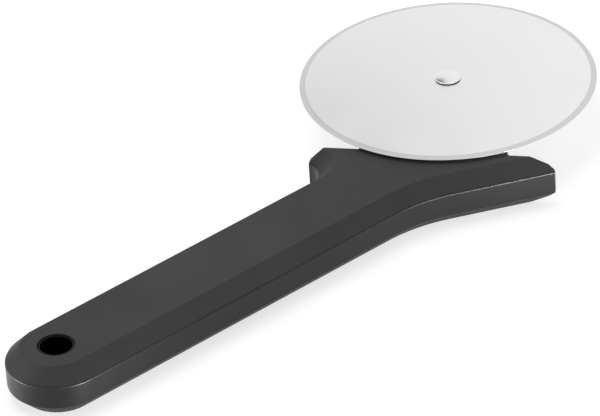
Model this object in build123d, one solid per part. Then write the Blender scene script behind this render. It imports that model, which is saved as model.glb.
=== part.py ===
"""Pizza cutter: a steel wheel that turns on one side of a short arm, ahead of an angled handle.

The handle lies on its flat back with the grip along +X. Its origin is the centre of the hanging
hole, on the back face. The arm leaves the guard at an angle to the grip and carries the axle.
Sizes are in millimetres and angles in degrees.
"""
import os
from math import asin, atan2, cos, hypot, radians, sin, sqrt, tan

from build123d import *

# Grip, with its bevelled edges
handle_width = 33.3
handle_thickness = 17.75
edge_bevel = 4.9
top_edge_softness = 0.4
low_edge_softness = 0.8

# Wheel axle, measured from the hanging hole, and the turn of the arm against the grip
axle_x = 190.5
axle_y = 24.1
arm_turn = 38.8

# Guard: the wide flat front behind the wheel, with a wing to the right and a hook to the left.
# The wing and the hook reach past the grip's own half width, both measured from the arm's line.
guard_setback = 42.8
right_wing_overhang = 25.1
right_tip_land = 1.4
wing_flare = 25.0
wing_blend_radius = 48.0
left_hook_overhang = 23.6
left_tip_land = 2.4
scallop_radius = 8.9

# The two shells of the handle
shell_wall = 2.4
rim_extra = 1.2
seam_land = 0.3
seam_softness = 0.3
tongue_gap = 0.15
tongue_width = 1.2
tongue_height = 1.6
grip_rib_width = 1.6
grip_rib_drop = 2.2
grip_rib_count = 5

# Seal strip in the seam
seal_inset = 0.8
seal_width = 0.8
seal_height = 0.7

# Hanging hole and its sleeve
hole_radius = 5.1
sleeve_wall = 1.0
sleeve_lip = 0.7
sleeve_boss_wall = 2.2

# Arm and its tang inside the handle
arm_root_half_width = 28.5
arm_wall = 2.6
arm_web = 2.8
arm_gap = 0.2
arm_rib_width = 2.4
arm_rib_fan = 14.0
arm_softness = 0.8
hub_radius = 11.0
hub_boss_radius = 8.0
hub_recess_radius = 6.5
hub_recess_depth = 5.6
tang_half_width = 9.0
tang_start_x = 92.0
tang_head_back = 16.0
collar_wall = 2.0

# Screws that hold the shells together, with brass inserts and plugs over the heads
screw_radius = 1.45
screw_hole_radius = 1.65
screw_length = 12.0
screw_head_radius = 2.75
screw_head_height = 2.0
screw_socket_radius = 1.2
screw_socket_depth = 1.1
screw_boss_radius = 4.6
plug_radius = 3.05
plug_height = 1.4
plug_sink = 0.2
plug_well_radius = 3.1
plug_head_gap = 0.2
insert_radius = 2.2
insert_bore_radius = 1.5
insert_length = 3.2
insert_tip_gap = 0.2
insert_boss_radius = 3.9
tail_screw_x = 26.0
middle_screw_x = 66.0
neck_screw_x = 106.0
guard_screw_back = 53.5
guard_screw_left = 24.0
guard_screw_right = 0.5

# Wheel
blade_radius = 50.0
blade_thickness = 1.0
blade_edge_thickness = 0.2
blade_bevel_width = 2.0
blade_rise = 1.5

# Bush that turns with the wheel
bush_radius = 4.0
bush_bore_radius = 3.03
bush_flange_radius = 6.5
bush_flange_thickness = 0.6

# Axle stack: shouldered post from the front, screw from the back
running_gap = 0.06
post_shoulder_radius = 3.0
post_shank_radius = 2.5
post_head_radius = 4.4
post_head_height = 0.65
post_head_crown = 0.22
post_thread_radius = 1.55
post_thread_depth = 8.0
post_end_gap = 0.8
head_washer_radius = 4.05
head_washer_thickness = 0.25
head_washer_bore_radius = 3.05
spacer_radius = 7.0
spacer_thickness = 0.5
spacer_bore_radius = 2.6
arm_sleeve_radius = 4.0
arm_sleeve_bore_radius = 2.53
axle_screw_radius = 1.5
axle_screw_length = 7.5
axle_screw_head_radius = 2.8
axle_screw_head_height = 1.8
axle_screw_socket_radius = 1.25
axle_screw_socket_depth = 1.1
back_washer_radius = 4.6
back_washer_bore_radius = 1.7
back_washer_thickness = 0.8
lock_washer_radius = 2.9
lock_washer_thickness = 0.7
lock_washer_slit = 0.5
cap_thickness = 1.4

# Shared clearances
press_gap = 0.02
overrun = 1.0

# Heights worked out from the sizes above
half_width = handle_width / 2
right_wing_reach = half_width + right_wing_overhang
left_hook_reach = half_width + left_hook_overhang
seam_height = handle_thickness - edge_bevel
front_wall_height = handle_thickness - shell_wall
blade_middle = handle_thickness + blade_rise
blade_low = blade_middle - blade_thickness / 2
blade_high = blade_middle + blade_thickness / 2
flange_low = blade_low - bush_flange_thickness
spacer_high = flange_low - running_gap
hub_high = spacer_high - spacer_thickness
head_washer_low = blade_high + running_gap
post_head_low = head_washer_low + head_washer_thickness
arm_low = shell_wall
recess_high = arm_low + hub_recess_depth
back_washer_low = recess_high - back_washer_thickness
lock_washer_low = back_washer_low - lock_washer_thickness
screw_seat = plug_sink + plug_height + plug_head_gap + screw_head_height
sleeve_radius = hole_radius + sleeve_wall
sleeve_boss_radius = sleeve_radius + sleeve_boss_wall
whole_reach = axle_x + blade_radius


def guard_point(ahead, left):
    """Where a point lies that is given from the axle, ahead of it and left of it along the arm."""
    turn = radians(arm_turn)
    x = axle_x + ahead * cos(turn) - left * sin(turn)
    y = axle_y + ahead * sin(turn) + left * cos(turn)
    return Vector(x, y)


wing_tip = guard_point(-guard_setback - right_tip_land, -right_wing_reach)
wing_corner_x = wing_tip.X + (half_width + wing_tip.Y) / tan(radians(wing_flare))
tang_head_x = wing_corner_x - tang_head_back
guard_place = Pos(axle_x, axle_y, 0) * Rot(0, 0, arm_turn)
guard_axis = Axis((axle_x, axle_y, 0), (cos(radians(arm_turn)), sin(radians(arm_turn)), 0))
screw_places = [
    Vector(tail_screw_x, 0),
    Vector(middle_screw_x, 0),
    Vector(neck_screw_x, 0),
    guard_point(-guard_screw_back, guard_screw_left),
    guard_point(-guard_screw_back, -guard_screw_right),
]


def slab(plan, low, high):
    """A flat outline raised from one height to another."""
    return extrude(Pos(0, 0, low) * plan, high - low, dir=(0, 0, 1))


def round_bar(radius, low, high, place=Vector(0, 0)):
    """An upright bar between two heights."""
    bar = Cylinder(radius, high - low, align=(Align.CENTER, Align.CENTER, Align.MIN))
    return Pos(place.X, place.Y, low) * bar


def tube(outer, inner, low, high, place=Vector(0, 0)):
    """An upright tube between two heights."""
    return round_bar(outer, low, high, place) - round_bar(inner, low - overrun, high + overrun, place)


def turned(profile, place):
    """A turned piece: its profile of radius and height pairs, spun about an upright axis."""
    outline = make_face(Polyline(*[(radius, 0, height) for radius, height in profile], close=True))
    return Pos(place.X, place.Y, 0) * revolve(outline, Axis.Z)


def behind_guard_front(setback):
    """The space behind a plane that lies parallel to the guard's flat front."""
    block = Box(
        2 * whole_reach,
        2 * whole_reach,
        2 * whole_reach,
        align=(Align.MAX, Align.CENTER, Align.CENTER),
    )
    return guard_place * Pos(-setback, 0, 0) * block


def ahead_of_x(x):
    """The space on the wheel's side of a plane across the grip."""
    block = Box(
        2 * whole_reach,
        2 * whole_reach,
        2 * whole_reach,
        align=(Align.MIN, Align.CENTER, Align.CENTER),
    )
    return Pos(x, 0, 0) * block


def handle_plan():
    """The handle's wall line from above. It runs on past the guard's front, which is cut flat later."""
    past_front = edge_bevel + overrun - guard_setback
    flare = radians(wing_flare)
    blend = wing_blend_radius * tan(flare / 2)
    blend_end = (wing_corner_x + blend * cos(flare), -half_width - blend * sin(flare))
    hook = guard_point(-guard_setback - left_tip_land, left_hook_reach)
    hook_rise = hook.Y - half_width - scallop_radius
    scallop_x = hook.X - sqrt(scallop_radius**2 - hook_rise**2)
    outline = [
        Line((0, -half_width), (wing_corner_x - blend, -half_width)),
        TangentArc((wing_corner_x - blend, -half_width), blend_end, tangent=(1, 0)),
        Line(blend_end, wing_tip),
        Line(wing_tip, guard_point(past_front, -right_wing_reach)),
        Line(guard_point(past_front, -right_wing_reach), guard_point(past_front, left_hook_reach)),
        Line(guard_point(past_front, left_hook_reach), hook),
        TangentArc((scallop_x, half_width), hook, tangent=(1, 0)),
        Line((scallop_x, half_width), (0, half_width)),
        ThreePointArc((0, half_width), (-half_width, 0), (0, -half_width)),
    ]
    return make_face(outline)


def inset_plan(amount):
    """The handle's wall line moved inwards."""
    return offset(handle_plan(), -amount)


def handle_block():
    """The whole handle as one bevelled block, before it is parted into shells."""
    block = slab(handle_plan(), 0, handle_thickness)
    faces = block.faces().sort_by(Axis.Z)
    rims = faces[0].edges().sort_by(guard_axis)[:-1] + faces[-1].edges().sort_by(guard_axis)[:-1]
    block = chamfer(rims, edge_bevel) & behind_guard_front(guard_setback)
    top_rim = block.faces().sort_by(Axis.Z)[-1].edges().sort_by(guard_axis)[:-1]
    block = fillet(top_rim, top_edge_softness)
    at_low_edge = (edge_bevel - overrun / 2, edge_bevel + overrun / 2)
    low_rim = block.edges().filter_by_position(Axis.Z, *at_low_edge)
    return fillet(low_rim, low_edge_softness)


def arm_plan():
    """The arm outside the guard: straight sides from its root, tangent to the round hub."""
    corner_reach = hypot(guard_setback, arm_root_half_width)
    side_turn = atan2(arm_root_half_width, guard_setback) - asin(hub_radius / corner_reach)
    touch_ahead = hub_radius * sin(side_turn)
    touch_left = hub_radius * cos(side_turn)
    root_back = -guard_setback - shell_wall - arm_gap - overrun
    outline = [
        Line((root_back, -arm_root_half_width), (-guard_setback, -arm_root_half_width)),
        Line((-guard_setback, -arm_root_half_width), (touch_ahead, -touch_left)),
        ThreePointArc((touch_ahead, -touch_left), (hub_radius, 0), (touch_ahead, touch_left)),
        Line((touch_ahead, touch_left), (-guard_setback, arm_root_half_width)),
        Line((-guard_setback, arm_root_half_width), (root_back, arm_root_half_width)),
        Line((root_back, arm_root_half_width), (root_back, -arm_root_half_width)),
    ]
    return guard_place * make_face(outline)


def arm_window():
    """The opening between the shells that the arm's root passes through."""
    width = 2 * (arm_root_half_width + arm_gap)
    depth = shell_wall + 2 * arm_gap + 2 * overrun
    height = seam_height - arm_low
    block = Box(depth, width, height, align=(Align.MAX, Align.CENTER, Align.MIN))
    return guard_place * Pos(overrun - guard_setback, 0, arm_low) * block


def cavity(inset, setback, low, high):
    """The space inside the handle at a given inset from its walls and from its flat front."""
    return slab(inset_plan(inset), low, high) & behind_guard_front(guard_setback + setback)


def front_shell():
    """Upper shell: the flat top face with its bevel, screw bosses and a locating tongue."""
    shell = handle_block() & slab(inset_plan(seam_land), seam_height, handle_thickness + overrun)
    shell -= cavity(edge_bevel + rim_extra, edge_bevel, seam_height - overrun, front_wall_height)
    outer = inset_plan(shell_wall + tongue_gap)
    inner = inset_plan(shell_wall + tongue_gap + tongue_width)
    tongue = slab(outer, seam_height - tongue_height, seam_height + seam_land)
    tongue -= slab(inner, seam_height - tongue_height - overrun, seam_height + overrun)
    shell += tongue - ahead_of_x(tang_head_x - tongue_width)
    shell += round_bar(sleeve_boss_radius, seam_height, front_wall_height)
    insert_high = seam_height + insert_length + insert_tip_gap
    for place in screw_places:
        shell += round_bar(insert_boss_radius, seam_height, front_wall_height, place)
        shell -= round_bar(insert_radius + press_gap, seam_height - overrun, insert_high, place)
    return shell - round_bar(sleeve_radius + press_gap, -overrun, handle_thickness + overrun)


def back_shell():
    """Lower shell: walls, floor and bottom bevel, with screw wells and the window for the arm."""
    shell = handle_block() & slab(handle_plan(), -overrun, seam_height)
    rim = shell.faces().sort_by(Axis.Z)[-1].outer_wire().edges().sort_by(guard_axis)[:-1]
    shell = chamfer(rim, seam_softness)
    hollow = cavity(edge_bevel + rim_extra, shell_wall, shell_wall, edge_bevel + overrun)
    hollow += cavity(shell_wall, shell_wall, edge_bevel, seam_height + overrun)
    shell -= hollow - grip_ribs()
    shell += round_bar(sleeve_boss_radius, 0, seam_height)
    for place in screw_places:
        shell += round_bar(screw_boss_radius, 0, seam_height, place)
        shell -= round_bar(plug_well_radius, -overrun, screw_seat, place)
        shell -= round_bar(screw_hole_radius, -overrun, seam_height + overrun, place)
    shell -= seal_strip(seal_width + 2 * press_gap, seal_height + press_gap)
    shell -= arm_window()
    return shell - round_bar(sleeve_radius + press_gap, -overrun, handle_thickness)


def grip_ribs():
    """Blocks left standing as cross ribs in the grip, spaced evenly between the hole and the tang."""
    first = sleeve_boss_radius + grip_rib_width
    last = tang_start_x - grip_rib_width
    height = seam_height - grip_rib_drop
    rib = Box(grip_rib_width, handle_width, height, align=(Align.CENTER, Align.CENTER, Align.MIN))
    step = (last - first) / (grip_rib_count - 1)
    return [Pos(first + step * index, 0, 0) * rib for index in range(grip_rib_count)]


def seal_strip(width, height):
    """The strip that fills the groove in the lower shell's rim, from one side of the arm to the other."""
    middle = seal_inset + seal_width / 2
    strip = slab(inset_plan(middle - width / 2), seam_height - height, seam_height)
    strip -= slab(inset_plan(middle + width / 2), -overrun, handle_thickness)
    return strip & behind_guard_front(guard_setback + middle - width / 2)


def hang_sleeve():
    """Glossy liner of the hanging hole, with a rounded lip at the top face."""
    sleeve = tube(sleeve_radius, hole_radius, 0, handle_thickness)
    lip = sleeve.faces().sort_by(Axis.Z)[-1].inner_wires()[0].edge()
    return fillet(lip, sleeve_lip)


def tang_plan():
    """The part of the arm inside the handle: a broad head behind the guard and a tang in the grip."""
    head = inset_plan(shell_wall + arm_gap)
    grip = Pos(tang_start_x, 0) * Rectangle(
        tang_head_x - tang_start_x + overrun,
        2 * tang_half_width,
        align=(Align.MIN, Align.CENTER),
    )
    outline = slab(head, 0, arm_web) & (ahead_of_x(tang_head_x) + slab(grip, 0, arm_web))
    outline &= behind_guard_front(guard_setback + shell_wall + arm_gap)
    return outline.faces().sort_by(Axis.Z)[0]


def arm():
    """One moulding: the arm with its hub, and the tang that the shells clamp."""
    limb = slab(arm_plan(), arm_low, seam_height)
    faces = limb.faces().sort_by(Axis.Z)
    edges = faces[0].edges().sort_by(guard_axis)[1:] + faces[-1].edges().sort_by(guard_axis)[1:]
    whole = fillet(edges, arm_softness) + slab(tang_plan(), edge_bevel, seam_height)
    plan = arm_plan() + tang_plan()
    hollow = slab(offset(plan, -arm_wall), arm_low - overrun, seam_height - arm_web)
    hollow -= round_bar(hub_radius, 0, seam_height, guard_point(0, 0))
    for turn in (-arm_rib_fan, 0, arm_rib_fan):
        rib = Box(whole_reach, arm_rib_width, seam_height, align=(Align.MAX, Align.CENTER, Align.MIN))
        hollow -= guard_place * Rot(0, 0, turn) * rib
    for place in screw_places:
        hollow -= round_bar(screw_boss_radius + arm_gap + collar_wall, 0, seam_height, place)
    whole -= hollow
    for place in screw_places:
        whole -= round_bar(screw_boss_radius + arm_gap, 0, handle_thickness, place)
    whole += round_bar(hub_boss_radius, seam_height - arm_web, hub_high, guard_point(0, 0))
    whole -= round_bar(hub_recess_radius, 0, recess_high, guard_point(0, 0))
    return whole - round_bar(arm_sleeve_radius + press_gap, 0, blade_low, guard_point(0, 0))


def arm_sleeve():
    """Steel sleeve in the hub, which keeps the axle from crushing the arm."""
    return tube(arm_sleeve_radius, arm_sleeve_bore_radius, recess_high, hub_high, guard_point(0, 0))


def blade():
    """The wheel: a thin disc bevelled on both sides at its rim."""
    bore = bush_radius + press_gap
    shoulder = blade_radius - blade_bevel_width
    profile = [
        (bore, blade_low),
        (shoulder, blade_low),
        (blade_radius, blade_middle - blade_edge_thickness / 2),
        (blade_radius, blade_middle + blade_edge_thickness / 2),
        (shoulder, blade_high),
        (bore, blade_high),
    ]
    return turned(profile, guard_point(0, 0))


def blade_bush():
    """Flanged bush pressed into the wheel from below, which turns with it."""
    profile = [
        (bush_bore_radius, flange_low),
        (bush_flange_radius, flange_low),
        (bush_flange_radius, blade_low),
        (bush_radius, blade_low),
        (bush_radius, blade_high),
        (bush_bore_radius, blade_high),
    ]
    return turned(profile, guard_point(0, 0))


def axle_post():
    """Shouldered post whose low, slightly crowned head shows on the wheel's face."""
    low = recess_high + post_end_gap
    high = post_head_low + post_head_height
    bore_end = low + post_thread_depth
    rim = (post_head_radius, 0, high - post_head_crown)
    outline = [
        Polyline(
            (0, 0, high),
            (0, 0, bore_end),
            (post_thread_radius, 0, bore_end),
            (post_thread_radius, 0, low),
            (post_shank_radius, 0, low),
            (post_shank_radius, 0, spacer_high),
            (post_shoulder_radius, 0, spacer_high),
            (post_shoulder_radius, 0, post_head_low),
            (post_head_radius, 0, post_head_low),
            rim,
        ),
        TangentArc((0, 0, high), rim, tangent=(1, 0, 0)),
    ]
    return Pos(axle_x, axle_y, 0) * revolve(make_face(outline), Axis.Z)


def head_washer():
    """Thin black washer between the post's head and the wheel."""
    high = post_head_low
    return tube(head_washer_radius, head_washer_bore_radius, head_washer_low, high, guard_point(0, 0))


def spacer_washer():
    """Washer on the hub that the wheel's bush runs on."""
    return tube(spacer_radius, spacer_bore_radius, hub_high, spacer_high, guard_point(0, 0))


def back_washer():
    """Plain washer that spans the sleeve's end at the back of the hub."""
    low = back_washer_low
    return tube(back_washer_radius, back_washer_bore_radius, low, recess_high, guard_point(0, 0))


def lock_washer():
    """Split spring washer under the axle screw's head."""
    low = lock_washer_low
    ring = tube(lock_washer_radius, back_washer_bore_radius, low, back_washer_low, guard_point(0, 0))
    slit = Box(
        lock_washer_radius + overrun,
        lock_washer_slit,
        handle_thickness,
        align=(Align.MAX, Align.CENTER, Align.CENTER),
    )
    return ring - guard_place * Pos(0, 0, low) * slit


def socket_screw(radius, length, head_radius, head_height, socket_radius, socket_depth):
    """A screw that points up, with the underside of its head at height zero."""
    screw = round_bar(head_radius, -head_height, 0) + round_bar(radius, 0, length)
    socket = slab(RegularPolygon(socket_radius, 6), -head_height - overrun, socket_depth - head_height)
    return screw - socket


def axle_screw():
    """Screw that pulls the post down from the back of the hub."""
    screw = socket_screw(
        axle_screw_radius,
        axle_screw_length,
        axle_screw_head_radius,
        axle_screw_head_height,
        axle_screw_socket_radius,
        axle_screw_socket_depth,
    )
    return Pos(axle_x, axle_y, lock_washer_low) * screw


def axle_cap():
    """Cap that closes the hub's recess, flush with the back of the arm."""
    radius = hub_recess_radius - press_gap
    return round_bar(radius, arm_low, arm_low + cap_thickness, guard_point(0, 0))


def shell_screws():
    """The screws that pull the two shells together."""
    screw = socket_screw(
        screw_radius,
        screw_length,
        screw_head_radius,
        screw_head_height,
        screw_socket_radius,
        screw_socket_depth,
    )
    return [Pos(place.X, place.Y, screw_seat) * screw for place in screw_places]


def screw_inserts():
    """Brass inserts in the upper shell's bosses."""
    high = seam_height + insert_length
    return [tube(insert_radius, insert_bore_radius, seam_height, high, place) for place in screw_places]


def screw_plugs():
    """Plugs that close the screw wells in the back."""
    high = plug_sink + plug_height
    return [round_bar(plug_radius, plug_sink, high, place) for place in screw_places]


sub_parts = {
    "front_shell": front_shell(),
    "back_shell": back_shell(),
    "seal_strip": seal_strip(seal_width, seal_height),
    "hang_sleeve": hang_sleeve(),
    "arm": arm(),
    "arm_sleeve": arm_sleeve(),
    "blade": blade(),
    "blade_bush": blade_bush(),
    "axle_post": axle_post(),
    "head_washer": head_washer(),
    "spacer_washer": spacer_washer(),
    "back_washer": back_washer(),
    "lock_washer": lock_washer(),
    "axle_screw": axle_screw(),
    "axle_cap": axle_cap(),
    "shell_screws": shell_screws(),
    "screw_inserts": screw_inserts(),
    "screw_plugs": screw_plugs(),
}

os.makedirs("parts", exist_ok=True)
for name, shape in sub_parts.items():
    solids = [solid for piece in (shape if isinstance(shape, list) else [shape]) for solid in piece.solids()]
    export_step(Compound(children=solids) if len(solids) > 1 else solids[0], f"parts/{name}.step")
    print(name, len(solids), round(sum(solid.volume for solid in solids)))
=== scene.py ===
# %% [markdown]
# # A pizza cutter in the studio
# The real tool is a dark grey moulded handle with a steel wheel that turns on one side of its arm.
# The solids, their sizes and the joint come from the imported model. This notebook gives them their
# finish, remakes the turned parts with finer edges, and sets up the camera, the floor and the
# light.

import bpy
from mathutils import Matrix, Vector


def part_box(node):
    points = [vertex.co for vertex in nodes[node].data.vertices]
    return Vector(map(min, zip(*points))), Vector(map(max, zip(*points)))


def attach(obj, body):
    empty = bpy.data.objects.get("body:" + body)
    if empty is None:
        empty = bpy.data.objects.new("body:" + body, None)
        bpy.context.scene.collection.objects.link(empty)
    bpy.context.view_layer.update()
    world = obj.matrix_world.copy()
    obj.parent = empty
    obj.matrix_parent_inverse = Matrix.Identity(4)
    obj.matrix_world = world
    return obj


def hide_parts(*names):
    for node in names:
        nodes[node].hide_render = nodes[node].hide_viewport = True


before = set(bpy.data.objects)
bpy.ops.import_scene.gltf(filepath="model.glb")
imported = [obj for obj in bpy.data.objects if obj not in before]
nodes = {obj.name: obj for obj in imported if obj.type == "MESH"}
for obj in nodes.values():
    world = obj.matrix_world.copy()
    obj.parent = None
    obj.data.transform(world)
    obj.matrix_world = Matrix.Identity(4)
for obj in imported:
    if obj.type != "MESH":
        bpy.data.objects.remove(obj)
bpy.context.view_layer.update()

# %% Tools and units
from math import cos, pi, radians, sin

import bpy
from mathutils import Matrix, Vector

mm = 0.001
scene = bpy.context.scene
blade_low, blade_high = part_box("blade")
axle = (blade_low + blade_high) / 2
print("axle at", [round(value / mm, 2) for value in axle], "mm")

# %% [markdown]
# ## The camera
# The picture was taken from far away with a long lens, so the tool looks almost free of
# perspective. A camera is easiest to state as a heading, a pitch and a roll, and then one known
# point: here the wheel's centre, which must fall on one place in the picture.

# %% Camera
camera_turn = radians(-39.3)
camera_pitch = radians(33.017)
camera_roll = radians(-3.974)
lens_mm = 330
film_mm = 36
wheel_from_camera = Vector((49.691, 43.090, -1847.19)) * mm

turn = Matrix.Rotation(camera_turn, 4, "Z")
tilt = Matrix.Rotation(pi / 2 - camera_pitch, 4, "X")
roll = Matrix.Rotation(camera_roll, 4, "Z")
camera_data = bpy.data.cameras.new("camera")
camera_data.lens = lens_mm
camera_data.sensor_width = film_mm
camera_data.clip_end = 20
camera = bpy.data.objects.new("camera", camera_data)
scene.collection.objects.link(camera)
facing = turn @ tilt @ roll
camera.matrix_world = Matrix.Translation(axle - facing.to_3x3() @ wheel_from_camera) @ facing
scene.camera = camera
print("camera stands at", [round(value, 3) for value in camera.matrix_world.translation], "m")

# %% [markdown]
# ## Materials from nodes
# Each finish is one Principled shader fed by small noise patterns. All patterns read Object
# coordinates, which are metres here, so a noise scale of 4000 gives a grain a quarter of a
# millimetre wide. Helpers wire the nodes, so that each finish reads as a short list of choices.

# %% Helpers for materials
def new_material(name):
    """A material with an empty tree but for its output and one Principled shader."""
    material = bpy.data.materials.new(name)
    material.use_nodes = True
    tree = material.node_tree
    tree.nodes.clear()
    output = tree.nodes.new("ShaderNodeOutputMaterial")
    shader = tree.nodes.new("ShaderNodeBsdfPrincipled")
    tree.links.new(shader.outputs["BSDF"], output.inputs["Surface"])
    return material, tree, shader


def object_point(tree, centre=(0, 0, 0)):
    """Object coordinates, moved so that the pattern starts at the given centre."""
    coordinates = tree.nodes.new("ShaderNodeTexCoord")
    mapping = tree.nodes.new("ShaderNodeMapping")
    mapping.inputs["Location"].default_value = [-value for value in centre]
    tree.links.new(coordinates.outputs["Object"], mapping.inputs["Vector"])
    return mapping.outputs["Vector"]


def noise(tree, point, scale, detail=2.0):
    """A noise pattern in the object's own space."""
    node = tree.nodes.new("ShaderNodeTexNoise")
    node.inputs["Scale"].default_value = scale
    node.inputs["Detail"].default_value = detail
    tree.links.new(point, node.inputs["Vector"])
    return node.outputs["Fac"]


def between(tree, factor, low, high, start=0.3, end=0.7):
    """Turns a pattern into numbers between two values."""
    node = tree.nodes.new("ShaderNodeMapRange")
    for socket, value in zip(("From Min", "From Max", "To Min", "To Max"), (start, end, low, high)):
        node.inputs[socket].default_value = value
    tree.links.new(factor, node.inputs["Value"])
    return node.outputs["Result"]


def colours(tree, factor, *stops):
    """Turns a pattern into colours. Each stop is a place from 0 to 1 and a colour."""
    node = tree.nodes.new("ShaderNodeValToRGB")
    ramp = node.color_ramp
    while len(ramp.elements) < len(stops):
        ramp.elements.new(0.5)
    for element, (place, colour) in zip(ramp.elements, stops):
        element.position = place
        element.color = (*colour, 1)
    tree.links.new(factor, node.inputs["Fac"])
    return node.outputs["Color"]


def bump(tree, height, depth, shader, below=None):
    """Raises the surface by a pattern, to a depth in metres, on top of a bump already there."""
    node = tree.nodes.new("ShaderNodeBump")
    node.inputs["Strength"].default_value = 1.0
    node.inputs["Distance"].default_value = depth
    tree.links.new(height, node.inputs["Height"])
    if below is not None:
        tree.links.new(below, node.inputs["Normal"])
    tree.links.new(node.outputs["Normal"], shader.inputs["Normal"])


def grey(value, warmth=0.0):
    """A grey, slightly warm or cool."""
    return (value * (1 + warmth), value, value * (1 - warmth))


print("helpers ready")

# %% [markdown]
# ### Moulded plastic
# The handle is a satin, dark grey nylon. Up close such a moulding has a fine spark-eroded grain,
# and its shine is a little uneven where the tool's surface has worn. Two noises do this: a fine one
# for the grain's bump, and a broad one that shifts the colour and the roughness by a few percent.
# The arm and the liner of the hole are the same plastic, blacker and shinier.

# %% Plain plastic
cloud_scale = 38
cloud_change = 0.07
shine_change = 0.04
plastic_warmth = 0.008


def plastic(name, base, roughness, shine, grain_width, grain_depth):
    """Moulded plastic: fine grain, broad and faint changes in colour and roughness."""
    material, tree, shader = new_material(name)
    point = object_point(tree)
    cloud = noise(tree, point, cloud_scale, 4)
    darker = grey(base * (1 - cloud_change), plastic_warmth)
    lighter = grey(base * (1 + cloud_change), plastic_warmth)
    shade = colours(tree, cloud, (0.35, darker), (0.65, lighter))
    tree.links.new(shade, shader.inputs["Base Color"])
    fine = noise(tree, point, 1 / grain_width, 3)
    rough = between(tree, fine, roughness - shine_change, roughness + shine_change)
    tree.links.new(rough, shader.inputs["Roughness"])
    shader.inputs["Specular IOR Level"].default_value = shine
    bump(tree, fine, grain_depth, shader)
    return material


handle_plastic = plastic("handle_plastic", 0.0565, 0.50, 0.05, 0.22 * mm, 0.010 * mm)
arm_plastic = plastic("arm_plastic", 0.022, 0.36, 0.30, 0.30 * mm, 0.008 * mm)
liner_plastic = plastic("liner_plastic", 0.001, 0.12, 0.08, 1.2 * mm, 0.002 * mm)
print("plastics:", handle_plastic.name, arm_plastic.name, liner_plastic.name)

# %% [markdown]
# ### The lower shell's wall
# The lower shell came from a smoother tool, so its wall is darker and mirrors the floor. Its rim at
# the seam is what a hand rubs, so the last half millimetre leans back a little, as a worn edge
# does, and catches the lamps as a fine line. A bump is enough for a lean that small: its height
# falls evenly towards the seam. The lower bevel is duller than the wall. All three zones are the
# same plain plastic, and masks by height tell them apart.

# %% Masks by height
def combine(tree, operation, first, second):
    """One number made of two by a named operation."""
    node = tree.nodes.new("ShaderNodeMath")
    node.operation = operation
    tree.links.new(first, node.inputs[0])
    tree.links.new(second, node.inputs[1])
    return node.outputs["Value"]


def height_band(tree, low, high, blur):
    """One between two heights in the object's own space, otherwise zero, with blurred ends."""
    parts = tree.nodes.new("ShaderNodeSeparateXYZ")
    tree.links.new(object_point(tree), parts.inputs["Vector"])
    above = between(tree, parts.outputs["Z"], 0, 1, low - blur, low)
    below = between(tree, parts.outputs["Z"], 1, 0, high, high + blur)
    return combine(tree, "MULTIPLY", above, below)


def blend(tree, factor, first, second):
    """A number that goes from the first to the second as the factor goes from zero to one."""
    node = tree.nodes.new("ShaderNodeMix")
    tree.links.new(factor, node.inputs["Factor"])
    tree.links.new(first, node.inputs["A"])
    tree.links.new(second, node.inputs["B"])
    return node.outputs["Result"]


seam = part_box("back_shell")[1].z
print("the seam is", round(seam / mm, 2), "mm up")

# %% Wall plastic
below_all = -1 * mm
bevel_top = 4.6 * mm
bevel_blur = 0.4 * mm
worn_width = 0.5 * mm
worn_drop = 0.11 * mm
worn_rough = (0.40, 0.46)
seam_blur = 0.05 * mm
bevel_shine = 0.22
bevel_rough = (0.52, 0.60)
wall_grain_width = 0.22 * mm
wall_grain_depth = 0.004 * mm
patch_width = 0.4 * mm


def wall_finish(name, base, roughness, shine):
    """The lower shell's plastic: a smooth wall, a worn band at the seam and a dull lower bevel."""
    material = plastic(name, base, roughness, shine, wall_grain_width, wall_grain_depth)
    tree = material.node_tree
    shader = next(node for node in tree.nodes if node.type == "BSDF_PRINCIPLED")
    wall_rough = shader.inputs["Roughness"].links[0].from_socket
    grain = shader.inputs["Normal"].links[0].from_socket
    patches = noise(tree, object_point(tree), 1 / patch_width, 3)
    worn = height_band(tree, seam - worn_width, seam + seam_blur, seam_blur)
    bevel = height_band(tree, below_all, bevel_top, bevel_blur)
    rough = blend(tree, worn, wall_rough, between(tree, patches, *worn_rough))
    rough = blend(tree, bevel, rough, between(tree, patches, *bevel_rough))
    tree.links.new(rough, shader.inputs["Roughness"])
    shines = between(tree, bevel, shine, bevel_shine, 0, 1)
    tree.links.new(shines, shader.inputs["Specular IOR Level"])
    lean = height_band(tree, below_all, seam - worn_width, worn_width)
    bump(tree, lean, worn_drop, shader, grain)
    return material


wall_plastic = wall_finish("wall_plastic", 0.0145, 0.34, 0.33)
print("wall plastic:", wall_plastic.name, "with a bevel up to", round(bevel_top / mm, 1), "mm")

# %% [markdown]
# ### Steel
# The wheel is stainless sheet, polished on a rotating pad. The pad leaves fine rings about the
# axle, so the pattern is a noise that reads only the distance from the axle. The ground bevel at
# the rim is duller. The same distance, compared with the bevel's radius, tells the two apart.

# %% Steel finishes
def distance_from_axle(tree):
    """The distance of each point from the wheel's axle, as a number in metres."""
    point = object_point(tree, axle)
    flat = tree.nodes.new("ShaderNodeVectorMath")
    flat.operation = "MULTIPLY"
    flat.inputs[1].default_value = (1, 1, 0)
    tree.links.new(point, flat.inputs[0])
    length = tree.nodes.new("ShaderNodeVectorMath")
    length.operation = "LENGTH"
    tree.links.new(flat.outputs["Vector"], length.inputs[0])
    return length.outputs["Value"]


def rings(tree, distance, spacing):
    """Noise that changes only with the distance from the axle."""
    node = tree.nodes.new("ShaderNodeTexNoise")
    node.noise_dimensions = "1D"
    node.inputs["Scale"].default_value = 1 / spacing
    node.inputs["Detail"].default_value = 3
    tree.links.new(distance, node.inputs["W"])
    return node.outputs["Fac"]


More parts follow.
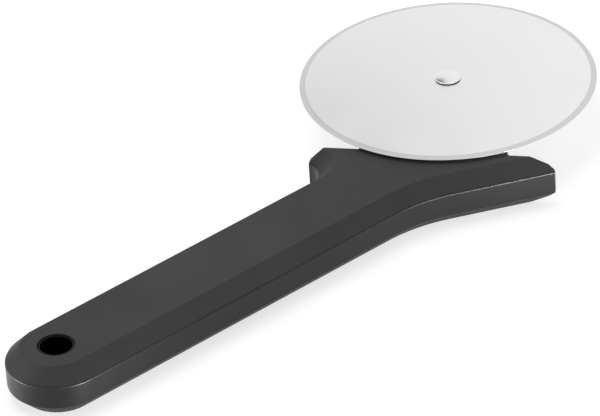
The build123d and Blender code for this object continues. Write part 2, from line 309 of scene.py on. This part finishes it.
def multiply(tree, first, second):
    """The product of two colours."""
    node = tree.nodes.new("ShaderNodeMix")
    node.data_type = "RGBA"
    node.blend_type = "MULTIPLY"
    node.inputs["Factor"].default_value = 1.0
    tree.links.new(first, node.inputs["A"])
    tree.links.new(second, node.inputs["B"])
    return node.outputs["Result"]


wheel_radius = (blade_high.x - blade_low.x) / 2
bevel_width = 2.0 * mm
shoulder = wheel_radius - bevel_width
shoulder_blur = 0.1 * mm
face_colour = grey(0.87, 0.004)
bevel_colour = grey(0.64, -0.004)
ring_spacing = 0.35 * mm
ring_depth = 0.0012 * mm
smear_scale = 55


def wheel_steel():
    """Satin stainless steel with ring marks, and a duller ground bevel at the rim."""
    material, tree, shader = new_material("wheel_steel")
    distance = distance_from_axle(tree)
    ring = rings(tree, distance, ring_spacing)
    bevel = between(tree, distance, 0, 1, shoulder - shoulder_blur, shoulder + shoulder_blur)
    band = colours(tree, bevel, (0.0, face_colour), (1.0, bevel_colour))
    streak = colours(tree, ring, (0.3, grey(0.975)), (0.7, grey(1.0)))
    tree.links.new(multiply(tree, band, streak), shader.inputs["Base Color"])
    shader.inputs["Metallic"].default_value = 1.0
    smear = noise(tree, object_point(tree), smear_scale, 3)
    tree.links.new(between(tree, smear, 0.30, 0.38), shader.inputs["Roughness"])
    bump(tree, ring, ring_depth, shader)
    return material


ring_darker = 0.06
ring_rougher = 0.2


def turned_steel(name, base, roughness, spacing):
    """Steel turned on a lathe, with fine rings about the wheel's axle."""
    material, tree, shader = new_material(name)
    ring = rings(tree, distance_from_axle(tree), spacing)
    shade = colours(tree, ring, (0.3, grey(base * (1 - ring_darker))), (0.7, grey(base)))
    tree.links.new(shade, shader.inputs["Base Color"])
    shader.inputs["Metallic"].default_value = 1.0
    smooth, dull = roughness * (1 - ring_rougher), roughness * (1 + ring_rougher)
    rough = between(tree, ring, smooth, dull)
    tree.links.new(rough, shader.inputs["Roughness"])
    return material


blade_steel = wheel_steel()
head_steel = turned_steel("head_steel", 0.86, 0.16, 0.25 * mm)
plain_steel = turned_steel("plain_steel", 0.52, 0.34, 0.2 * mm)
print("steels:", blade_steel.name, head_steel.name, plain_steel.name)

# %% [markdown]
# ### Brass, rubber and the pale bush
# These lie inside or in the seam. They still get a real finish, because the model can be taken
# apart.

# %% Small finishes
fleck_change = 0.05
fleck_depth = 0.006 * mm


def flecked(name, base, fleck, roughness, metallic, size):
    """A finish with small flecks of a second colour and an uneven shine."""
    material, tree, shader = new_material(name)
    pattern = noise(tree, object_point(tree), 1 / size, 3)
    tree.links.new(colours(tree, pattern, (0.35, base), (0.65, fleck)), shader.inputs["Base Color"])
    shader.inputs["Metallic"].default_value = metallic
    rough = between(tree, pattern, roughness - fleck_change, roughness + fleck_change)
    tree.links.new(rough, shader.inputs["Roughness"])
    bump(tree, pattern, fleck_depth, shader)
    return material


insert_brass = flecked("insert_brass", (0.62, 0.42, 0.16), (0.72, 0.52, 0.22), 0.3, 1.0, 0.5 * mm)
seam_rubber = flecked("seam_rubber", grey(0.012), grey(0.018), 0.7, 0.0, 0.4 * mm)
bush_plastic = flecked("bush_plastic", grey(0.52, 0.02), grey(0.6, 0.02), 0.4, 0.0, 0.6 * mm)
print("small finishes:", insert_brass.name, seam_rubber.name, bush_plastic.name)

# %% Put the finishes on the CAD nodes
finish_of = {
    "front_shell": handle_plastic,
    "back_shell": wall_plastic,
    "screw_plugs": handle_plastic,
    "arm": arm_plastic,
    "axle_cap": arm_plastic,
    "hang_sleeve": liner_plastic,
    "head_washer": liner_plastic,
    "seal_strip": seam_rubber,
    "blade": blade_steel,
    "axle_post": head_steel,
    "arm_sleeve": plain_steel,
    "axle_screw": plain_steel,
    "back_washer": plain_steel,
    "lock_washer": plain_steel,
    "shell_screws": plain_steel,
    "screw_inserts": insert_brass,
    "blade_bush": bush_plastic,
    "spacer_washer": bush_plastic,
}
for name, node in nodes.items():
    node.data.materials.clear()
    node.data.materials.append(finish_of[name])
print("finished", len(finish_of), "CAD nodes")

# %% [markdown]
# ## Turned parts
# The wheel, the axle's head, the liner of the hanging hole and the cap are all round. Each is one
# outline of radius and height pairs that a lathe would follow. A Geometry Nodes tree spins that
# outline: Curve to Mesh carries it round a circle that is almost a point, so the outline's first
# number becomes the radius. The number of steps is an input, so one tree serves every part.

# %% The tree that turns an outline
almost_a_point = 1e-7
touching = 1e-6


def socket_id(tree, name):
    """The identifier of a tree's named input, which is what a modifier stores its value under."""
    inputs = [item for item in tree.interface.items_tree if item.in_out == "INPUT"]
    return next(item.identifier for item in inputs if item.name == name)


def new_tree(name, *inputs):
    """A Geometry Nodes tree with a geometry input and output, and the named inputs given."""
    tree = bpy.data.node_groups.new(name, "GeometryNodeTree")
    tree.interface.new_socket("Geometry", in_out="INPUT", socket_type="NodeSocketGeometry")
    tree.interface.new_socket("Geometry", in_out="OUTPUT", socket_type="NodeSocketGeometry")
    for label, kind in inputs:
        tree.interface.new_socket(label, in_out="INPUT", socket_type=kind)
    return tree


def add(tree, kind, **values):
    """A node with some of its inputs set."""
    node = tree.nodes.new(kind)
    for label, value in values.items():
        node.inputs[label.replace("_", " ")].default_value = value
    return node


def turning_tree():
    """Spins the outline that it is given about the Z axis."""
    tree = new_tree("turned_part", ("Steps", "NodeSocketInt"), ("Finish", "NodeSocketMaterial"))
    link = tree.links.new
    given, result = add(tree, "NodeGroupInput"), add(tree, "NodeGroupOutput")
    outline = add(tree, "GeometryNodeMeshToCurve")
    path = add(tree, "GeometryNodeCurvePrimitiveCircle", Radius=almost_a_point)
    spin = add(tree, "GeometryNodeCurveToMesh")
    join = add(tree, "GeometryNodeMergeByDistance", Distance=touching)
    real = add(tree, "GeometryNodeRealizeInstances")
    paint = add(tree, "GeometryNodeSetMaterial")
    link(given.outputs["Geometry"], outline.inputs["Mesh"])
    link(given.outputs["Steps"], path.inputs["Resolution"])
    link(path.outputs["Curve"], spin.inputs["Curve"])
    link(outline.outputs["Curve"], spin.inputs["Profile Curve"])
    link(spin.outputs["Mesh"], join.inputs["Geometry"])
    link(join.outputs["Geometry"], real.inputs["Geometry"])
    link(real.outputs["Geometry"], paint.inputs["Geometry"])
    link(given.outputs["Finish"], paint.inputs["Material"])
    link(paint.outputs["Geometry"], result.inputs["Geometry"])
    return tree


turned_part = turning_tree()
print("tree:", turned_part.name)

# %% Helpers that turn an outline
def run_tree(name, mesh, tree, **values):
    """Runs a tree on a mesh and returns the result as a plain mesh."""
    carrier = bpy.data.objects.new(name + "_carrier", mesh)
    scene.collection.objects.link(carrier)
    modifier = carrier.modifiers.new("tree", "NODES")
    modifier.node_group = tree
    for label, value in values.items():
        modifier[socket_id(tree, label)] = value
    seen = carrier.evaluated_get(bpy.context.evaluated_depsgraph_get())
    result = bpy.data.meshes.new_from_object(seen)
    result.name = name
    carrier.modifiers.remove(modifier)
    bpy.data.objects.remove(carrier)
    return result


def outline_mesh(name, outline, closed):
    """A polyline of radius and height pairs, in the plane that the turning tree expects."""
    mesh = bpy.data.meshes.new(name)
    edges = [(index, index + 1) for index in range(len(outline) - 1)]
    if closed:
        edges.append((len(outline) - 1, 0))
    mesh.from_pydata([(radius, -height, 0) for radius, height in outline], edges, [])
    return mesh


def corner(radius, height, soft, start, steps=5):
    """Points of a quarter round about a radius and height, from a start angle in degrees."""
    angles = [radians(start + 90 * step / steps) for step in range(steps + 1)]
    return [(radius + soft * cos(angle), height + soft * sin(angle)) for angle in angles]


def turn_piece(name, outline, closed, steps, finish, centre):
    """Turns an outline into a mesh about an upright axis through a centre."""
    drawn = outline_mesh(name, outline, closed)
    mesh = run_tree(name, drawn, turned_part, Steps=steps, Finish=finish)
    mesh.transform(Matrix.Translation((centre.x, centre.y, 0)))
    return mesh


print("turning helpers ready")

# %% Helpers that place a piece
import bmesh


def tidy_mesh(mesh, sharp_angle=30):
    """Merges doubles, points faces outwards, and keeps only real corners sharp."""
    form = bmesh.new()
    form.from_mesh(mesh)
    bmesh.ops.remove_doubles(form, verts=form.verts, dist=touching)
    bmesh.ops.recalc_face_normals(form, faces=form.faces)
    for face in form.faces:
        face.smooth = True
    for edge in form.edges:
        edge.smooth = len(edge.link_faces) == 2 and edge.calc_face_angle(0) < radians(sharp_angle)
    open_edges = sum(not edge.is_manifold for edge in form.edges)
    form.to_mesh(mesh)
    form.free()
    return open_edges


def place_piece(name, mesh, body, slot, *stands_for):
    """Makes an object of a mesh that is in place, and says what it rides on and stands for."""
    open_edges = tidy_mesh(mesh)
    piece = bpy.data.objects.new(name, mesh)
    scene.collection.objects.link(piece)
    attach(piece, body)
    if stands_for:
        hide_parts(*stands_for)
    print(name, "faces", len(mesh.polygons), "open edges", open_edges)


print("placing helpers ready")

# %% [markdown]
# ### The wheel
# The CAD wheel is a polygon of many sides. Its rim is the sharpest line in the picture, so the
# finer one has 256 steps, and its outline breaks each corner of the bevel with a hair of radius.

# %% Wheel
edge_thickness = 0.2 * mm
bore = 4.02 * mm
ease = 0.25 * mm
hair = 0.05 * mm
hair_drop = 0.02 * mm
wheel_steps = 256
low, high = blade_low.z, blade_high.z
wheel_outline = [
    (bore, low),
    (shoulder - ease, low),
    (shoulder + hair, low + hair_drop),
    (wheel_radius - hair, axle.z - edge_thickness / 2),
    (wheel_radius, axle.z - edge_thickness / 4),
    (wheel_radius, axle.z + edge_thickness / 4),
    (wheel_radius - hair, axle.z + edge_thickness / 2),
    (shoulder + hair, high - hair_drop),
    (shoulder - ease, high),
    (bore, high),
]
wheel_mesh = turn_piece("wheel_disc", wheel_outline, True, wheel_steps, blade_steel, axle)
place_piece("wheel_disc", wheel_mesh, "wheel", "blade_steel", "blade")

# %% [markdown]
# ### The axle's head
# What shows on the wheel is a low polished button. Its edge is rounded, and its crown is so slight
# that it reads as a flat mirror with one bright line at the rim. The shank below keeps its steps.

# %% Axle post with its button head
post_low, post_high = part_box("axle_post")
head_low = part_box("head_washer")[1].z
head_radius = (post_high.x - post_low.x) / 2
spacer_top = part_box("spacer_washer")[1].z
thread_radius = 1.55 * mm
thread_top = post_low.z + 8 * mm
neck_radius = 2.5 * mm
journal_radius = 3.0 * mm
head_break = 0.1 * mm
crown_steps = 8
rim_soft = 0.22 * mm
crown_drop = 0.16 * mm
crown_base = post_high.z - crown_drop
crown_radius = head_radius - rim_soft
small_steps = 96
crown = []
for step in range(crown_steps + 1):
    reach = (1 - step / crown_steps) * crown_radius
    crown.append((reach, post_high.z - crown_drop * (reach / crown_radius) ** 2))
post_outline = [
    (0, thread_top),
    (thread_radius, thread_top),
    (thread_radius, post_low.z),
    (neck_radius, post_low.z),
    (neck_radius, spacer_top),
    (journal_radius, spacer_top),
    (journal_radius, head_low),
    (head_radius - head_break, head_low),
    (head_radius, head_low + head_break),
    *corner(crown_radius, crown_base - rim_soft, rim_soft, 0),
    *crown[1:],
]
post_mesh = turn_piece("axle_button", post_outline, False, small_steps, head_steel, axle)
place_piece("axle_button", post_mesh, "handle", "polished_steel", "axle_post")

# %% [markdown]
# ### The liner of the hanging hole
# A glossy black tube lines the hole. Its lip at the top face is rounded, and on the real tool that
# small curve catches two bright spots. They don't show here: with more shine the whole ring turns
# grey, so the liner is kept almost without it.

# %% Hole liner
liner_low, liner_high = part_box("hang_sleeve")
liner_outer = (liner_high.x - liner_low.x) / 2
liner_inner = 5.1 * mm
lip = 0.7 * mm
foot = 0.25 * mm
liner_outline = [
    (liner_outer, liner_low.z),
    (liner_outer, liner_high.z),
    *corner(liner_inner + lip, liner_high.z - lip, lip, 90, 8),
    *corner(liner_inner + foot, liner_low.z + foot, foot, 180, 4),
]
hole_centre = (liner_low + liner_high) / 2
liner_mesh = turn_piece("hole_liner", liner_outline, True, small_steps, liner_plastic, hole_centre)
place_piece("hole_liner", liner_mesh, "handle", "gloss_black", "hang_sleeve")

# %% [markdown]
# ### The cap under the axle
# A snap-in cap hides the screw at the back of the arm. It has a shallow dish, so that a thumbnail
# can find its rim.

# %% Back cap
cap_low, cap_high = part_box("axle_cap")
cap_radius = (cap_high.x - cap_low.x) / 2
cap_edge = 0.3 * mm
dish_rim = 1.2 * mm
dish_slope = 0.4 * mm
dish_depth = 0.35 * mm
cap_outline = [
    (0, cap_high.z),
    (cap_radius, cap_high.z),
    (cap_radius, cap_low.z + cap_edge),
    (cap_radius - cap_edge, cap_low.z),
    (cap_radius - dish_rim, cap_low.z),
    (cap_radius - dish_rim - dish_slope, cap_low.z + dish_depth),
    (0, cap_low.z + dish_depth),
]
cap_mesh = turn_piece("hub_cap", cap_outline, False, small_steps, arm_plastic, axle)
place_piece("hub_cap", cap_mesh, "handle", "arm_plastic", "axle_cap")

# %% [markdown]
# ### The five plugs in the back
# Alike parts that repeat are what instances are for. One plug is turned as before, a second tree
# puts a copy on each place, and Realize Instances makes them real. The places are measured from
# the CAD plugs, so they follow the model.

# %% The tree that repeats a part
def repeating_tree():
    """Puts a copy of one part on every point of the mesh that it is given."""
    tree = new_tree("repeated_part", ("Part", "NodeSocketObject"), ("Finish", "NodeSocketMaterial"))
    link = tree.links.new
    given, result = add(tree, "NodeGroupInput"), add(tree, "NodeGroupOutput")
    part = add(tree, "GeometryNodeObjectInfo")
    copies = add(tree, "GeometryNodeInstanceOnPoints")
    real = add(tree, "GeometryNodeRealizeInstances")
    paint = add(tree, "GeometryNodeSetMaterial")
    link(given.outputs["Geometry"], copies.inputs["Points"])
    link(given.outputs["Part"], part.inputs["Object"])
    link(part.outputs["Geometry"], copies.inputs["Instance"])
    link(copies.outputs["Instances"], real.inputs["Geometry"])
    link(real.outputs["Geometry"], paint.inputs["Geometry"])
    link(given.outputs["Finish"], paint.inputs["Material"])
    link(paint.outputs["Geometry"], result.inputs["Geometry"])
    return tree


def middles_of(name, reach):
    """The middle of each separate solid in a CAD node whose solids lie further apart than reach."""
    groups = []
    for vertex in nodes[name].data.vertices:
        near = [group for group in groups if (group[0].xy - vertex.co.xy).length < reach]
        if near:
            near[0].append(vertex.co.copy())
        else:
            groups.append([vertex.co.copy()])
    middles = [sum(group, Vector()) / len(group) for group in groups]
    return [(middle.x, middle.y, 0) for middle in middles]


repeated_part = repeating_tree()
plug_gap = 8 * mm
plug_places = middles_of("screw_plugs", plug_gap)
print("plugs at", [(round(x / mm, 1), round(y / mm, 1)) for x, y, z in plug_places])

# %% Plugs
plug_low, plug_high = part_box("screw_plugs")
plug_radius = 3.05 * mm
plug_edge = 0.2 * mm
dimple_radius = 0.9 * mm
dimple_slope = 0.3 * mm
dimple_depth = 0.35 * mm
plug_steps = 48
plug_outline = [
    (0, plug_high.z),
    (plug_radius, plug_high.z),
    (plug_radius, plug_low.z + plug_edge),
    (plug_radius - plug_edge, plug_low.z),
    (dimple_radius, plug_low.z),
    (dimple_radius - dimple_slope, plug_low.z + dimple_depth),
    (0, plug_low.z + dimple_depth),
]
one_plug_mesh = turn_piece("one_plug", plug_outline, False, plug_steps, handle_plastic, Vector())
one_plug = bpy.data.objects.new("one_plug", one_plug_mesh)
places_mesh = bpy.data.meshes.new("plug_places")
places_mesh.from_pydata(plug_places, [], [])
plug_mesh = run_tree("back_plugs", places_mesh, repeated_part, Part=one_plug, Finish=handle_plastic)
bpy.data.objects.remove(one_plug)
place_piece("back_plugs", plug_mesh, "handle", "handle_plastic", "screw_plugs")

# %% [markdown]
# ## The studio
# The floor is pale and plain. A white background must not come from more light on the tool, so the
# floor and the world are lifted to white only for camera rays and for mirror and glass rays. The
# rest of the floor's colour is ordinary paint, so the tool's soft shadow still falls on it.

# %% Floor and world
def lifted_white(tree):
    """One where a ray comes from the camera or a mirror-like surface, otherwise zero."""
    path = tree.nodes.new("ShaderNodeLightPath")
    seen = combine(tree, "MAXIMUM", path.outputs["Is Camera Ray"], path.outputs["Is Glossy Ray"])
    return combine(tree, "MAXIMUM", seen, path.outputs["Is Transmission Ray"])


def square_sheet(name, reach):
    """A flat square that reaches the same way from the origin on all sides."""
    mesh = bpy.data.meshes.new(name)
    corners = [(-reach, -reach, 0), (reach, -reach, 0), (reach, reach, 0), (-reach, reach, 0)]
    mesh.from_pydata(corners, [], [(0, 1, 2, 3)])
    sheet = bpy.data.objects.new(name, mesh)
    scene.collection.objects.link(sheet)
    return sheet


white = (1, 1, 1, 1)
floor = square_sheet("floor", 4.0)
print("floor reaches", round(floor.dimensions.x / 2, 1), "m each way")

# %% Floor paint
floor_greys = (0.41, 0.43)
floor_lift = 0.69
matt_rough = 0.9
no_shine = 0.0


def two_greys(tree, scale, darker, lighter):
    """Broad, faint patches of two greys."""
    patches = noise(tree, object_point(tree), scale)
    return colours(tree, patches, (0.4, grey(darker)), (0.6, grey(lighter)))


floor_paint, tree, shader = new_material("floor_paint")
shader.inputs["Roughness"].default_value = matt_rough
shader.inputs["Specular IOR Level"].default_value = no_shine
tree.links.new(two_greys(tree, 3, *floor_greys), shader.inputs["Base Color"])
glow = tree.nodes.new("ShaderNodeEmission")
glow.inputs["Color"].default_value = white
lift = between(tree, lifted_white(tree), 0, floor_lift, 0, 1)
tree.links.new(lift, glow.inputs["Strength"])
both = tree.nodes.new("ShaderNodeAddShader")
output = next(node for node in tree.nodes if node.type == "OUTPUT_MATERIAL")
tree.links.new(shader.outputs["BSDF"], both.inputs[0])
tree.links.new(glow.outputs["Emission"], both.inputs[1])
tree.links.new(both.outputs["Shader"], output.inputs["Surface"])
floor.data.materials.append(floor_paint)
print("floor paint:", floor_paint.name, "lifted by", floor_lift)

# %% World
room_light = 0.55
seen_light = 1.0
world = bpy.data.worlds.new("studio")
scene.world = world
world.use_nodes = True
tree = world.node_tree
tree.nodes.clear()
sky = tree.nodes.new("ShaderNodeBackground")
sky.inputs["Color"].default_value = white
strength = between(tree, lifted_white(tree), room_light, seen_light, 0, 1)
tree.links.new(strength, sky.inputs["Strength"])
world_out = tree.nodes.new("ShaderNodeOutputWorld")
tree.links.new(sky.outputs["Background"], world_out.inputs["Surface"])
print("world lights the tool at", room_light, "and looks", seen_light)

# %% [markdown]
# ## The light
# One broad lamp overhead gives the form. It is hidden from mirror-like rays, so that bare steel
# shows the white room and does not clip. The edge lamp is small and bright, and draws the fine line
# along the seam. The three glint lamps work the other way round: only mirror-like rays see them.
# They stand low beside the handle, under the level of the wheel, and put a soft bright band on the
# tail and on the wing. A narrow spread keeps them off the straight grip.

# %% Lamps
def soft_lamp(name, place, aim, size, power):
    """A rectangular soft box that faces a point."""
    lamp = bpy.data.lights.new(name, "AREA")
    lamp.shape = "RECTANGLE"
    lamp.size, lamp.size_y = size
    lamp.energy = power
    holder = bpy.data.objects.new(name, lamp)
    scene.collection.objects.link(holder)
    holder.location = place
    holder.visible_camera = False
    holder.rotation_euler = (Vector(aim) - Vector(place)).to_track_quat("-Z", "Y").to_euler()
    return holder


key_lamp = soft_lamp("key_lamp", (-0.05, 0.30, 1.32), (0.11, 0.02, 0), (0.9, 0.9), 7.5)
key_lamp.visible_glossy = False
print("key lamp", round(key_lamp.location.z, 2), "m above the floor")

# %% Glint lamps and edge lamp
glint_height = 0.011
glint_tall = 0.014
glint_spread = radians(70)
# Each row is a name, where the lamp stands, what it faces, how wide it is, and its power.
glints = [
    ("front_glint", (0.011, -0.115), (-0.01, -0.016), 0.03, 0.065),
    ("left_glint", (-0.096, 0.062), (-0.016, 0), 0.04, 0.085),
    ("wing_glint", (0.160, -0.140), (0.18, -0.03), 0.06, 0.075),
]
for name, place, aim, width, power in glints:
    size = (width, glint_tall)
    glint = soft_lamp(name, (*place, glint_height), (*aim, glint_height), size, power)
    glint.visible_diffuse = False
    glint.data.spread = glint_spread
soft_lamp("edge_lamp", (0.24, -0.62, 0.78), (0.07, 0, 0), (0.16, 0.1), 0.45)
print("glint lamps:", len(glints), "and one edge lamp")

# %% [markdown]
# A small dark card stands behind the wheel, above the camera's view. The axle's head and the steel
# mirror it softly, which keeps polished metal from looking flat in an all-white room.

# %% A dark card behind the wheel
card_reach = 0.09
card_place = (0.600, 0.672, 0.663)
card_greys = (0.04, 0.05)
card_rough = 0.8
dark_card = square_sheet("dark_card", card_reach)
dark_card.location = card_place
dark_card.rotation_euler = (axle - dark_card.location).to_track_quat("Z", "Y").to_euler()
dark_card.visible_camera = False
card_paint, tree, shader = new_material("card_paint")
tree.links.new(two_greys(tree, 6, *card_greys), shader.inputs["Base Color"])
shader.inputs["Roughness"].default_value = card_rough
dark_card.data.materials.append(card_paint)
print("dark card at", [round(value, 2) for value in dark_card.location], "m")

# %% View settings
scene.view_settings.view_transform = "Standard"
print("view transform:", scene.view_settings.view_transform)
